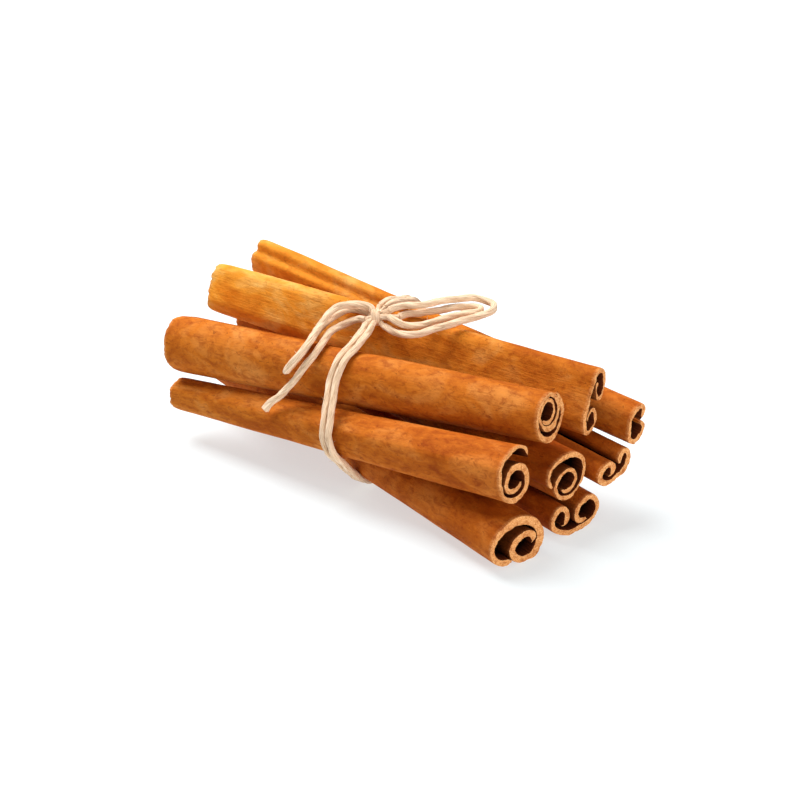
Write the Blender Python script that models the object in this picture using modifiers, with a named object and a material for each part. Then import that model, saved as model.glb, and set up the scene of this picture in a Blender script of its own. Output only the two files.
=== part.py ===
"""A bundle of eight cinnamon sticks, tied round the middle with doubled twine and finished in a bow.

Each stick is one sheet of bark that has dried into a scroll, rolled in from one edge or from both,
with hollows that run right through it. The sticks lie along X, Z is up, and the bundle lies on
z = 0: its two lowest sticks touch there at their right ends, and the twine under them a little
left of the middle. Sizes and places below are in millimetres, and mm() turns them into metres.
"""
import math
from typing import NamedTuple

import bmesh
import bpy
import numpy as np
from mathutils import Vector

# ---------------------------------------------------------------- driving dimensions (mm, degrees)
MIDDLE = (3.51, -3.48, 0.0)      # moves the layout so that its footprint is centred on the origin
STATIONS = 5                    # stretches along a stick
FACET = 0.95                    # length of one facet round a scroll
FLOOR_DEPTH = 2.0               # of the cutter that gives the lowest sticks a flat spot to lie on

STRAND = 1.5                    # thickness of one strand of twine
STRAND_PITCH = (1.7, 2.2)       # between the two strands of the tie, low down and on top
PITCH_HEIGHTS = (18.0, 25.0)    # from the one to the other
STRAND_STEP = 3.0               # between points along a strand
FOLD_STEP = 1.2                 # the same along the left loop, which folds back tightly
PRESSED = 0.75                  # a strand under the sticks is squeezed to this part of its thickness

BARK_COLOUR = (0.55, 0.23, 0.07, 1.0)
TWINE_COLOUR = (0.80, 0.70, 0.55, 1.0)


class Key(NamedTuple):
    """One state of the bark as it rolls up, seen from the right end: the centre that it turns
    about (across is towards +Y, up towards +Z), its half width and half height there, and the
    angle from that centre, where 0 points across and 90 up."""
    across: float
    up: float
    wide: float
    high: float
    angle: float


class Stick(NamedTuple):
    end: tuple          # centre of its right end, X, Y, Z
    yaw: float          # turn of the stick about Z
    pitch: float        # rise of the stick towards its right end
    length: float
    left: float         # size of the left end as a part of the right end's
    wall: float         # thickness of the bark
    scroll: tuple       # Keys from the bark's one edge to the other


STICKS = {
    # three turns round one hollow
    "stick_top_front": Stick((34.3, -1.2, 24.3), 3.7, 4.0, 80.4, 1.22, 0.56, (
        Key(-0.2, 0.05, 1.85, 1.8, 210), Key(-0.1, -0.1, 2.56, 2.56, 570),
        Key(0.0, -0.4, 2.98, 2.95, 660), Key(0.2, -0.75, 3.55, 3.8, 800),
        Key(0.32, -0.92, 3.86, 4.2, 930), Key(0.4, -0.95, 3.85, 4.2, 990),
        Key(0.55, -1.2, 3.95, 4.45, 1130))),
    # a tall double roll, its back to the front and both edges rolled well in
    "stick_top_middle": Stick((36.2, 9.7, 22.5), 4.0, -2.1, 81.8, 0.74, 0.9, (
        Key(2.2, 2.0, 1.1, 1.7, -210), Key(2.1, 1.8, 1.5, 2.4, -100),
        Key(2.1, 2.1, 2.05, 2.9, 150), Key(-0.75, -2.6, 2.05, 2.5, 183),
        Key(-1.0, -3.6, 2.0, 2.35, 225), Key(-0.9, -3.7, 1.75, 2.2, 400),
        Key(-0.65, -3.65, 1.0, 1.4, 530))),
    # a slim double roll whose edges meet in its side
    "stick_top_back": Stick((41.1, 15.9, 16.8), 2.4, -8.7, 83.4, 0.92, 0.9, (
        Key(0.9, 1.3, 1.1, 1.2, -75), Key(0.5, 1.5, 1.6, 1.7, 40), Key(0.1, 1.2, 2.3, 2.1, 165),
        Key(0.4, -1.5, 2.3, 2.4, 195), Key(1.0, -2.4, 1.9, 1.8, 250),
        Key(1.1, -2.3, 1.8, 1.6, 432))),
    # a tight scroll under a roof of its own bark, much smaller at its left end
    "stick_middle_front": Stick((34.5, -12.0, 18.1), -2.3, 6.6, 79.6, 0.57, 0.85, (
        Key(1.1, -0.9, 3.4, 4.0, 22), Key(1.5, -0.2, 3.6, 3.5, 45), Key(1.5, 0.4, 2.9, 3.0, 80),
        Key(-0.2, 0.2, 3.3, 2.7, 155), Key(0.2, -2.1, 3.7, 3.7, 210),
        Key(0.7, -1.9, 3.5, 3.65, 275), Key(0.7, -2.1, 3.0, 3.2, 340),
        Key(0.5, -2.3, 2.7, 2.6, 405), Key(0.3, -2.3, 2.5, 2.4, 480),
        Key(0.2, -2.5, 2.2, 1.7, 560), Key(0.4, -2.5, 1.8, 1.2, 640),
        Key(0.5, -2.4, 1.5, 1.1, 690))),
    # thick bark round a crescent hollow and an inner roll
    "stick_bottom_front": Stick((35.5, -12.4, 4.72), -14.2, -2.2, 85.5, 0.9, 1.3, (
        Key(-1.0, 0.0, 4.2, 3.5, -101), Key(-0.9, 0.0, 4.5, 3.9, -180),
        Key(-0.2, 0.0, 5.0, 3.9, -270), Key(0.9, -0.8, 4.5, 4.3, -360),
        Key(2.0, -1.5, 2.9, 2.7, -450), Key(1.9, -1.5, 2.8, 2.4, -550),
        Key(2.2, -1.3, 1.9, 1.9, -690), Key(2.2, -1.2, 1.2, 1.2, -735))),
    # one loose spiral, its outer edge bent out at a corner
    "stick_centre": Stick((36.8, 0.7, 11.9), -7.3, -3.1, 79.8, 0.9, 0.8, (
        Key(-1.0, 0.5, 3.1, 2.9, -150), Key(-0.9, 0.6, 3.6, 3.0, -180),
        Key(-1.0, 1.0, 3.9, 3.1, -215), Key(0.0, 0.2, 4.1, 3.8, -268),
        Key(0.6, -0.2, 4.1, 3.9, -340), Key(0.6, -1.1, 3.6, 3.6, -440),
        Key(0.0, -1.3, 2.6, 2.5, -545), Key(0.1, -1.3, 2.3, 2.1, -760),
        Key(0.1, -1.4, 1.4, 1.5, -860))),
    # two small rolls with the groove between them on top
    "stick_middle_back": Stick((40.3, 9.6, 10.3), -6.6, -5.5, 77.8, 0.95, 1.0, (
        Key(-1.0, -0.3, 0.8, 0.8, -75), Key(-1.1, -0.4, 1.4, 1.4, 10),
        Key(-1.2, -0.4, 2.0, 2.0, 180), Key(-0.2, -0.6, 2.3, 2.0, 255),
        Key(2.6, 0.2, 1.6, 1.9, 300), Key(3.0, 0.5, 1.3, 2.1, 360), Key(2.9, 0.6, 1.0, 1.7, 545))),
    # a wide double roll that lies on its back
    "stick_bottom_back": Stick((37.4, 2.7, 4.1), -12.4, -2.2, 80.0, 0.95, 0.95, (
        Key(-3.3, -0.5, 0.85, 1.1, -85), Key(-3.4, -0.6, 1.4, 1.8, 0),
        Key(-3.4, -0.5, 1.9, 2.4, 90), Key(-3.4, -0.5, 2.0, 2.4, 200),
        Key(-0.6, -1.0, 2.7, 2.9, 262), Key(2.4, -0.8, 2.8, 2.75, 300),
        Key(2.5, -0.8, 2.75, 2.7, 430), Key(2.4, -0.9, 2.2, 2.0, 570),
        Key(2.4, -0.9, 1.5, 1.4, 635))),
}
ON_THE_FLOOR = ("stick_bottom_front", "stick_bottom_back")

# The tie: down the front of the bundle from the knot, under it and up behind, in X, Y, Z.
KNOT = (-7.1, 4.7, 28.7)
KNOT_SIZE = (1.9, 2.7, 2.9)
TIE = (
    (-7.0, 2.4, 28.1), (-6.6, 0.5, 27.4), (-6.1, -3.3, 26.4), (-6.1, -7.1, 24.9),
    (-6.0, -9.5, 21.8), (-4.8, -12.2, 18.6), (-4.0, -14.2, 15.8), (-3.4, -14.9, 13.5),
    (-2.2, -14.8, 11.3), (-1.5, -13.0, 8.5), (-1.2, -10.8, 5.3), (-1.0, -9.0, 2.9),
    (-1.5, -5.8, 1.2), (-2.3, -2.2, 0.62), (-3.2, 1.2, 0.60), (-4.2, 4.0, 0.60),
    (-5.1, 7.6, 0.60), (-6.0, 11.7, 0.62), (-6.6, 17.1, 1.4), (-7.0, 19.8, 5.1),
    (-7.4, 20.5, 9.7), (-7.7, 21.0, 14.0), (-7.9, 20.5, 18.5), (-8.0, 19.2, 23.2),
    (-8.0, 17.5, 26.8), (-8.0, 15.6, 28.8), (-8.0, 12.4, 29.5), (-7.9, 9.6, 29.8),
    (-7.8, 7.4, 29.5),
)
PRESSED_BELOW = 2.0             # height up to which the tie is under the sticks

# The free twine, from the knot outwards. The bow's long right loop is two strands and its left
# loop is one strand, folded narrow; they all come back to the knot.
LOOP_OUTER = (
    (-5.2, 6.2, 30.0), (-4.1, 7.1, 30.6), (-2.7, 7.9, 31.0), (-0.3, 9.0, 31.2), (1.8, 11.6, 31.5),
    (3.8, 14.2, 31.5), (5.9, 16.7, 31.3), (8.1, 17.6, 30.9), (9.9, 17.2, 30.6),
    (10.5, 15.0, 30.3), (8.9, 12.4, 29.9), (7.6, 9.0, 29.9), (5.4, 5.8, 29.4), (3.2, 3.8, 28.6),
    (0.6, 3.0, 28.0), (-2.7, 3.7, 27.6), (-4.8, 4.0, 27.8),
)
LOOP_INNER = (
    (-3.2, 6.3, 29.2), (-2.3, 8.1, 29.4), (-0.6, 9.3, 29.5), (1.8, 11.2, 29.9), (4.1, 13.4, 30.2),
    (6.3, 15.3, 30.2), (7.9, 15.8, 30.1), (8.4, 14.6, 30.0), (6.8, 13.0, 29.9), (5.3, 10.7, 29.8),
    (3.7, 8.1, 29.5), (1.9, 5.9, 29.0), (-0.1, 4.6, 29.0), (-2.1, 4.2, 29.4), (-4.0, 4.4, 29.7),
)
LOOP_LEFT = (
    (-8.4, 5.3, 29.2), (-8.9, 5.6, 29.7), (-9.9, 5.4, 30.0), (-11.4, 5.0, 30.0),
    (-13.2, 4.2, 29.8), (-14.7, 3.1, 29.3), (-15.2, 1.0, 28.5), (-14.7, -1.9, 27.7),
    (-13.8, -4.8, 27.2), (-13.2, -7.5, 26.4), (-13.7, -9.8, 24.8), (-15.0, -10.8, 22.8),
    (-15.8, -10.6, 21.8), (-16.0, -9.5, 21.9), (-14.8, -8.2, 23.8), (-14.5, -5.9, 25.4),
    (-15.3, -3.1, 26.1), (-15.9, -0.1, 26.4), (-16.0, 2.9, 26.9), (-14.9, 4.7, 27.8),
    (-13.2, 5.5, 28.4), (-11.4, 5.8, 28.5), (-9.8, 5.8, 28.3),
)
END_FRONT = (
    (-9.0, 4.1, 28.0), (-10.5, 3.9, 27.7), (-12.2, 3.0, 27.0), (-13.3, 1.2, 26.4),
    (-13.1, -1.8, 26.2), (-12.0, -5.4, 25.6), (-12.2, -8.0, 24.1), (-13.1, -9.6, 22.1),
    (-14.6, -10.8, 19.6), (-16.5, -11.5, 17.3), (-18.0, -12.4, 15.8), (-18.9, -13.4, 14.3),
)


# ---------------------------------------------------------------------------------- small helpers
def mm(value):
    """Millimetres as metres, for a number or for each number of a point."""
    return value * 0.001 if isinstance(value, (int, float)) else Vector(value) * 0.001


def remove_everything():
    for obj in list(bpy.data.objects):
        bpy.data.objects.remove(obj, do_unlink=True)


def new_collection(name):
    collection = bpy.data.collections.new(name)
    bpy.context.scene.collection.children.link(collection)
    return collection


def material(name, colour, roughness):
    made = bpy.data.materials.new(name)
    made.use_nodes = True
    shader = made.node_tree.nodes["Principled BSDF"]
    shader.inputs["Base Color"].default_value = colour
    shader.inputs["Roughness"].default_value = roughness
    shader.inputs["Metallic"].default_value = 0.0
    return made


def place(obj, collection, finish, parent=None):
    obj.data.materials.append(finish)
    collection.objects.link(obj)
    obj.parent = parent
    return obj


def spaced(points, count):
    """The given number of points at even distances along a line of points."""
    steps = np.linalg.norm(np.diff(points, axis=0), axis=1)
    along = np.concatenate([[0.0], np.cumsum(steps)])
    at = np.linspace(0.0, along[-1], count)
    return np.stack([np.interp(at, along, points[:, k]) for k in range(points.shape[1])], axis=1)


def length_of(points):
    return float(np.linalg.norm(np.diff(points, axis=0), axis=1).sum())


# ---------------------------------------------------------------------------------------- sticks
def scroll_line(keys, degrees_a_step=7.0, drift_a_step=0.35, softening=2):
    """The middle of the bark from edge to edge: from each Key to the next, the radii, the centre
    and the angle change evenly, and the corners where the change turns are softened."""
    keys = np.array(keys, float)
    states = []
    for here, there in zip(keys[:-1], keys[1:]):
        turn = abs(there[4] - here[4]) / degrees_a_step
        drift = math.hypot(*(there[:2] - here[:2])) / drift_a_step
        count = max(2, round(turn + drift))
        states += [here + (there - here) * k / count for k in range(count)]
    across, up, wide, high, angle = np.array(states + [keys[-1]]).T
    angle = np.radians(angle)
    line = np.stack([across + wide * np.cos(angle), up + high * np.sin(angle)], axis=1)
    for _ in range(softening):
        line[1:-1] = (line[:-2] + 2 * line[1:-1] + line[2:]) / 4
    return line


def rolled_sheet(name, stick):
    """A flat grid rolled up along the scroll, its right end at x = 0 and its left end at -length."""
    line = scroll_line(stick.scroll)
    around = round(length_of(line) / FACET)
    line = spaced(line, around + 1)
    bm = bmesh.new()
    bmesh.ops.create_grid(bm, x_segments=around, y_segments=STATIONS, size=0.5)
    for vert in bm.verts:
        place_around = round((vert.co.x + 0.5) * around)
        to_the_left = vert.co.y + 0.5
        size = 1 + (stick.left - 1) * to_the_left
        across, up = line[place_around] * size
        vert.co = mm((-stick.length * to_the_left, across, up))
    mesh = bpy.data.meshes.new(name)
    bm.to_mesh(mesh)
    bm.free()
    return mesh


def make_stick(name, stick, collection, finish, parent, floor):
    obj = bpy.data.objects.new(name, rolled_sheet(name, stick))
    obj.location = mm(stick.end)
    obj.rotation_euler = (0.0, -math.radians(stick.pitch), math.radians(stick.yaw))
    bark = obj.modifiers.new("bark", "SOLIDIFY")
    bark.thickness = mm(stick.wall)
    bark.offset = 0.0
    bark.use_even_offset = True
    if name in ON_THE_FLOOR:
        flat = obj.modifiers.new("flat spot", "BOOLEAN")
        flat.operation = "DIFFERENCE"
        flat.object = floor
    place(obj, collection, finish, parent)
    obj.data.shade_smooth()
    obj.data.set_sharp_from_angle(angle=math.radians(40))
    return obj


def floor_cutter(collection, parent):
    """A slab whose top is the surface that the bundle lies on."""
    bm = bmesh.new()
    bmesh.ops.create_cube(bm, size=1.0)
    for vert in bm.verts:
        vert.co = mm((vert.co.x * 120.0, vert.co.y * 80.0, (vert.co.z - 0.5) * FLOOR_DEPTH))
    mesh = bpy.data.meshes.new("floor_cutter")
    bm.to_mesh(mesh)
    bm.free()
    slab = bpy.data.objects.new("floor_cutter", mesh)
    slab.hide_render = True
    slab.display_type = "WIRE"
    slab.parent = parent
    collection.objects.link(slab)
    return slab


# ----------------------------------------------------------------------------------------- twine
def smooth_route(points, per_span=8):
    """A smooth curve through hand-placed points: a Catmull-Rom spline."""
    points = np.array(points, float)
    padded = np.vstack([2 * points[0] - points[1], points, 2 * points[-1] - points[-2]])
    t = np.linspace(0.0, 1.0, per_span, endpoint=False)[:, None]
    spans = []
    for a, b, c, d in zip(padded[:-3], padded[1:-2], padded[2:-1], padded[3:]):
        spans.append(0.5 * (2 * b + (c - a) * t + (2 * a - 5 * b + 4 * c - d) * t ** 2
                            + (3 * b - a - 3 * c + d) * t ** 3))
    return np.vstack(spans + [points[-1:]])


def make_strand(name, route, collection, finish, parent, step=STRAND_STEP, pressed_below=None):
    """One strand of twine along a route, squeezed where it runs lower than pressed_below."""
    line = spaced(route, round(length_of(route) / step) + 1)
    curve = bpy.data.curves.new(name, "CURVE")
    curve.dimensions = "3D"
    curve.bevel_depth = mm(STRAND / 2)
    curve.bevel_resolution = 2
    curve.use_fill_caps = True
    spline = curve.splines.new("POLY")
    spline.points.add(len(line) - 1)
    for point, place_on_line in zip(spline.points, line):
        point.co = (*mm(place_on_line), 1.0)
        if pressed_below is not None and place_on_line[2] < pressed_below:
            point.radius = PRESSED
    spline.use_smooth = True
    return place(bpy.data.objects.new(name, curve), collection, finish, parent)


def make_tie(collection, finish, parent):
    """The two strands that go round the bundle side by side, each from the knot and back to it."""
    route = smooth_route(TIE)
    pitch = np.interp(route[:, 2], PITCH_HEIGHTS, STRAND_PITCH)
    for side, name in ((-0.5, "twine_tie_left"), (0.5, "twine_tie_right")):
        strand = route.copy()
        strand[:, 0] += side * pitch
        make_strand(name, strand, collection, finish, parent, pressed_below=PRESSED_BELOW)


def make_knot(collection, finish, parent):
    bm = bmesh.new()
    bmesh.ops.create_uvsphere(bm, u_segments=14, v_segments=8, radius=0.5)
    for vert in bm.verts:
        vert.co = mm([c * s for c, s in zip(vert.co, KNOT_SIZE)])
    mesh = bpy.data.meshes.new("twine_knot")
    bm.to_mesh(mesh)
    bm.free()
    mesh.shade_smooth()
    knot = bpy.data.objects.new("twine_knot", mesh)
    knot.location = mm(KNOT)
    return place(knot, collection, finish, parent)


# ---------------------------------------------------------------------------------------- bundle
def main():
    remove_everything()
    bundle = new_collection("cinnamon_bundle")
    cutters = new_collection("cutters")
    middle = bpy.data.objects.new("bundle_middle", None)
    middle.location = mm(MIDDLE)
    bundle.objects.link(middle)

    bark = material("cinnamon_bark", BARK_COLOUR, 0.75)
    twine = material("natural_twine", TWINE_COLOUR, 0.9)
    floor = floor_cutter(cutters, middle)
    for name, stick in STICKS.items():
        make_stick(name, stick, bundle, bark, middle, floor)
    make_tie(bundle, twine, middle)
    make_knot(bundle, twine, middle)
    make_strand("twine_loop_left", smooth_route(LOOP_LEFT), bundle, twine, middle, step=FOLD_STEP)
    routes = {"twine_loop_outer": LOOP_OUTER, "twine_loop_inner": LOOP_INNER,
              "twine_end_front": END_FRONT}
    for name, route in routes.items():
        make_strand(name, smooth_route(route), bundle, twine, middle)


main()
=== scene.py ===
# %% [markdown]
# # A bundle of cinnamon sticks
#
# Eight rolls of dried bark, tied round the middle with doubled twine and finished in a bow. This
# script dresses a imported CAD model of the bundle: every piece made here stands for one CAD node,
# lies where that node lies, and rides on the same body.
#
# A bark roll starts as a flat sheet, exactly as the real one does, and a Geometry Nodes tree rolls
# it up along a scroll line. A strand of twine starts as a path, and another tree lays twisted plies
# along it. Sizes are in millimetres and the scene is in metres, so `mm` turns one into the other.

# %% Load the frame
import math
from typing import NamedTuple

import bpy
import numpy as np
from mathutils import Matrix, Vector


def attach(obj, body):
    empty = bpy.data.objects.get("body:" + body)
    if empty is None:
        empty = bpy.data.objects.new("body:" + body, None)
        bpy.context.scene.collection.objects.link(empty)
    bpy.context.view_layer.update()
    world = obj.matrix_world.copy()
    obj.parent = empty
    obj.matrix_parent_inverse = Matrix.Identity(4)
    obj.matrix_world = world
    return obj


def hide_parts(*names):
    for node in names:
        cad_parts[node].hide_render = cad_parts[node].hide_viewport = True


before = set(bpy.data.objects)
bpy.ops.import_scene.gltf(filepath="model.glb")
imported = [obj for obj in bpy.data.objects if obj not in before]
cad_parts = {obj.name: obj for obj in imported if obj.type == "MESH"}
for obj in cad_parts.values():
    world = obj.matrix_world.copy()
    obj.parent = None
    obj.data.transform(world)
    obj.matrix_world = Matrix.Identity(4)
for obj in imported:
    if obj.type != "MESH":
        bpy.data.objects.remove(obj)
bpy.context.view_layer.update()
BODY = "root"


def mm(value):
    """Millimetres as metres, for a number or for each number of a point."""
    return value * 0.001 if isinstance(value, (int, float)) else Vector(value) * 0.001


# %% [markdown]
# ## One helper for colours and one for nodes
#
# Colours are picked as sRGB hex values, the way a paint program shows them, while shaders work in
# linear light, so one function converts them. The other helper adds a node with its settings and
# links, in geometry trees and in materials alike. Nodes for sums are used so often that their
# type names get short names here.

# %% Colour and node helpers
MATH, VECTOR, NOISE = "ShaderNodeMath", "ShaderNodeVectorMath", "ShaderNodeTexNoise"
MIX, RANGE, COMBINE = "ShaderNodeMix", "ShaderNodeMapRange", "ShaderNodeCombineXYZ"


def linear(hex_code):
    """An sRGB hex colour such as #cc8844 as linear RGBA."""
    parts = [int(hex_code[i:i + 2], 16) / 255 for i in (1, 3, 5)]
    return (*[p / 12.92 if p <= 0.04045 else ((p + 0.055) / 1.055) ** 2.4 for p in parts], 1.0)


def add(tree, kind, inputs=None, ramp=None, **settings):
    """A new node of that kind, with its settings. inputs gives, by name or number, a value, a
    socket to link from, or a node, which stands for its first output; ramp gives colour stops."""
    made = tree.nodes.new(kind)
    for name, value in settings.items():
        setattr(made, name, value)
    for key, value in (inputs or {}).items():
        source = value.outputs[0] if isinstance(value, bpy.types.Node) else value
        if isinstance(source, bpy.types.NodeSocket):
            tree.links.new(source, made.inputs[key])
        else:
            made.inputs[key].default_value = source
    for number, (position, hex_code) in enumerate(ramp or []):
        stops = made.color_ramp.elements
        stop = stops[number] if number < 2 else stops.new(position)
        stop.position, stop.color = position, linear(hex_code)
    return made


# %% [markdown]
# ## Camera, light and floor
#
# The bundle is seen from its front right and above, from about half a metre with a long lens, so
# that the sticks barely converge. A big soft light above and to the left gives the bright tops, a
# weaker one lights the cut ends, and a pale surround with a bright floor keeps the shadow light.

# %% Camera
LAYOUT_MIDDLE = (3.51, -3.48, 0.0)      # the layout's shift to the middle of the footprint, in mm
AIM = (0.84, 0.77, 16.01)               # in the layout, in mm
CAMERA_DISTANCE = 450.0
CAMERA_AZIMUTH, CAMERA_RISE, CAMERA_ROLL = (math.radians(a) for a in (38.37, 27.20, -1.78))
LENS = 113.36


def spherical(azimuth, rise):
    """The direction of a place seen from the middle: azimuth 0 is the front, -Y, and 90 is +X."""
    return Vector((math.sin(azimuth) * math.cos(rise), -math.cos(azimuth) * math.cos(rise),
                   math.sin(rise)))


def look_matrix(place, target, roll=0.0):
    """The place and turn of something that looks along its own -Z from place to target."""
    back = (place - target).normalized()
    right = Vector((0, 0, 1)).cross(back).normalized()
    up = back.cross(right)
    rolled = right * math.cos(roll) + up * math.sin(roll)
    turn = Matrix((rolled, back.cross(rolled), back)).transposed()
    return Matrix.Translation(place) @ turn.to_4x4()


aim = mm(AIM) + mm(LAYOUT_MIDDLE)
camera = bpy.data.objects.new("camera", bpy.data.cameras.new("camera"))
camera.data.lens = LENS
camera.data.sensor_width = 36.0
camera.data.clip_start = 0.01
camera_place = aim + spherical(CAMERA_AZIMUTH, CAMERA_RISE) * mm(CAMERA_DISTANCE)
camera.matrix_world = look_matrix(camera_place, aim, CAMERA_ROLL)
bpy.context.scene.collection.objects.link(camera)
bpy.context.scene.camera = camera
print("camera at", [round(c, 4) for c in camera_place])

# %% Lights and floor
KEY_PLACE, KEY_SIZE, KEY_WATTS = (-0.31, 0.07, 0.56), 0.45, 6.8
FILL_PLACE, FILL_SIZE, FILL_WATTS = (0.66, -0.14, 0.22), 0.30, 2.6
SURROUND = 0.25
FLOOR_SIZE = 6.0
FLOOR_GLOW = 0.58               # light of the floor's own, like a light table's
LAMPS_AIM = Vector((0, 0, 0.01))


def soft_light(name, place, size, watts):
    lamp = bpy.data.lights.new(name, "AREA")
    lamp.shape, lamp.size, lamp.energy = "SQUARE", size, watts
    made = bpy.data.objects.new(name, lamp)
    made.matrix_world = look_matrix(Vector(place), LAMPS_AIM)
    bpy.context.scene.collection.objects.link(made)


soft_light("key light", KEY_PLACE, KEY_SIZE, KEY_WATTS)
soft_light("fill light", FILL_PLACE, FILL_SIZE, FILL_WATTS)

surround = bpy.data.worlds.new("studio surround")
surround.use_nodes = True
surround.node_tree.nodes["Background"].inputs["Color"].default_value = linear("#ffffff")
surround.node_tree.nodes["Background"].inputs["Strength"].default_value = SURROUND
bpy.context.scene.world = surround
bpy.context.scene.view_settings.view_transform = "Standard"

acrylic = bpy.data.materials.new("backlit_white_acrylic_floor")
acrylic.use_nodes = True
acrylic_shader = acrylic.node_tree.nodes["Principled BSDF"].inputs
for name, value in (("Base Color", linear("#a6aeb0")), ("Roughness", 0.9),
                    ("Specular IOR Level", 0.1), ("Emission Color", linear("#ffffff")),
                    ("Emission Strength", FLOOR_GLOW)):
    acrylic_shader[name].default_value = value
floor_mesh = bpy.data.meshes.new("floor")
half = FLOOR_SIZE / 2
corners = [(-half, -half, 0), (half, -half, 0), (half, half, 0), (-half, half, 0)]
floor_mesh.from_pydata(corners, [], [(0, 1, 2, 3)])
floor_mesh.materials.append(acrylic)
floor = bpy.data.objects.new("floor", floor_mesh)
bpy.context.scene.collection.objects.link(floor)

# %% [markdown]
# ## The twine's routes
#
# Two strands of twine go once round the bundle, side by side, and end in a bow on top. The bow's
# long right loop is two strands, its left loop is one strand, folded narrow, and one free end hangs
# over the front. A strand could be drawn as a Bezier curve with handles, but a few points with one
# smooth curve through them, a Catmull-Rom spline, are easier to place. They are in the layout's
# millimetres.

# %% Routes
KNOT = (-7.1, 4.7, 28.7)
TIE = (
    (-7.0, 2.4, 28.1), (-6.6, 0.5, 27.4), (-6.1, -3.3, 26.4), (-6.1, -7.1, 24.9),
    (-6.0, -9.5, 21.8), (-4.8, -12.2, 18.6), (-4.0, -14.2, 15.8), (-3.6, -14.9, 13.5),
    (-2.9, -14.6, 11.0), (-2.4, -12.9, 8.6), (-2.4, -10.6, 5.9), (-2.4, -8.3, 3.5),
    (-2.6, -5.6, 1.6), (-2.8, -2.2, 0.75), (-3.4, 1.2, 0.70), (-4.2, 4.0, 0.60),
    (-5.1, 7.6, 0.60), (-6.0, 11.7, 0.62), (-6.6, 17.1, 1.4), (-7.0, 19.8, 5.1),
    (-7.4, 20.5, 9.7), (-7.7, 21.0, 14.0), (-7.9, 20.5, 18.5), (-8.0, 19.2, 23.2),
    (-8.0, 17.5, 26.8), (-8.0, 15.6, 28.8), (-8.0, 12.4, 29.5), (-7.9, 9.6, 29.8),
    (-7.8, 7.4, 29.5),
)
LOOP_OUTER = (
    (-5.2, 6.2, 30.0), (-4.1, 7.1, 30.6), (-2.7, 7.9, 31.0), (-0.3, 9.0, 31.2), (1.8, 11.6, 31.5),
    (3.8, 14.2, 31.5), (5.9, 16.7, 31.3), (8.1, 17.6, 30.9), (9.9, 17.2, 30.6),
    (10.5, 15.0, 30.3), (8.9, 12.4, 29.9), (7.6, 9.0, 29.9), (5.4, 5.8, 29.4), (3.2, 3.8, 28.6),
    (0.6, 3.0, 28.0), (-2.7, 3.7, 27.6), (-4.8, 4.0, 27.8),
)
LOOP_INNER = (
    (-3.2, 6.3, 29.2), (-2.3, 8.1, 29.4), (-0.6, 9.3, 29.5), (1.8, 11.2, 29.9), (4.1, 13.4, 30.2),
    (6.3, 15.3, 30.2), (7.9, 15.8, 30.1), (8.4, 14.6, 30.0), (6.8, 13.0, 29.9), (5.3, 10.7, 29.8),
    (3.7, 8.1, 29.5), (1.9, 5.9, 29.0), (-0.1, 4.6, 29.0), (-2.1, 4.2, 29.4), (-4.0, 4.4, 29.7),
)
LOOP_LEFT = (
    (-8.4, 5.3, 29.2), (-8.9, 5.6, 29.7), (-9.9, 5.4, 30.0), (-11.4, 5.0, 30.0),
    (-13.2, 4.2, 29.8), (-14.7, 3.1, 29.3), (-15.2, 1.0, 28.5), (-14.7, -1.9, 27.7),
    (-13.8, -4.8, 27.2), (-13.2, -7.5, 26.4), (-13.7, -9.8, 24.8), (-15.0, -10.8, 22.8),
    (-15.8, -10.6, 21.8), (-16.0, -9.5, 21.9), (-14.8, -8.2, 23.8), (-14.5, -5.9, 25.4),
    (-15.3, -3.1, 26.1), (-15.9, -0.1, 26.4), (-16.0, 2.9, 26.9), (-14.9, 4.7, 27.8),
    (-13.2, 5.5, 28.4), (-11.4, 5.8, 28.5), (-9.8, 5.8, 28.3),
)
END_FRONT = (
    (-9.0, 4.1, 28.0), (-10.5, 3.9, 27.7), (-12.2, 3.0, 27.0), (-13.3, 1.2, 26.4),
    (-13.1, -1.8, 26.2), (-12.0, -5.4, 25.6), (-12.2, -8.0, 24.1), (-13.1, -9.6, 22.1),
    (-14.6, -10.8, 19.6), (-16.5, -11.5, 17.3), (-18.0, -12.4, 15.8), (-18.9, -13.4, 14.3),
)


def smooth_route(points, per_span=8):
    """A smooth curve through given points: a Catmull-Rom spline."""
    points = np.array(points, float)
    padded = np.vstack([2 * points[0] - points[1], points, 2 * points[-1] - points[-2]])
    t = np.linspace(0.0, 1.0, per_span, endpoint=False)[:, None]
    spans = []
    for a, b, c, d in zip(padded[:-3], padded[1:-2], padded[2:-1], padded[3:]):
        spans.append(0.5 * (2 * b + (c - a) * t + (2 * a - 5 * b + 4 * c - d) * t ** 2
                            + (3 * b - a - 3 * c + d) * t ** 3))
    return np.vstack(spans + [points[-1:]])


def length_of(points):
    return float(np.linalg.norm(np.diff(points, axis=0), axis=1).sum())


print("tie, once round:", round(length_of(smooth_route(TIE)), 1), "mm")

# %% [markdown]
# ## Material: undyed jute twine
#
# Plant fibre, spun into soft plies that are laid together with little twist. It is matt and
# cream, a little darker in the groove between plies, with fine fibres that run along each ply. The
# tree below stores how far along the strand a point is and how far round its ply, so the streaks
# follow the twist. A fibre is too fine to show, so across a ply the streaks are drawn 0.15 mm
# apart, and along it they are 2 mm long.


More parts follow.
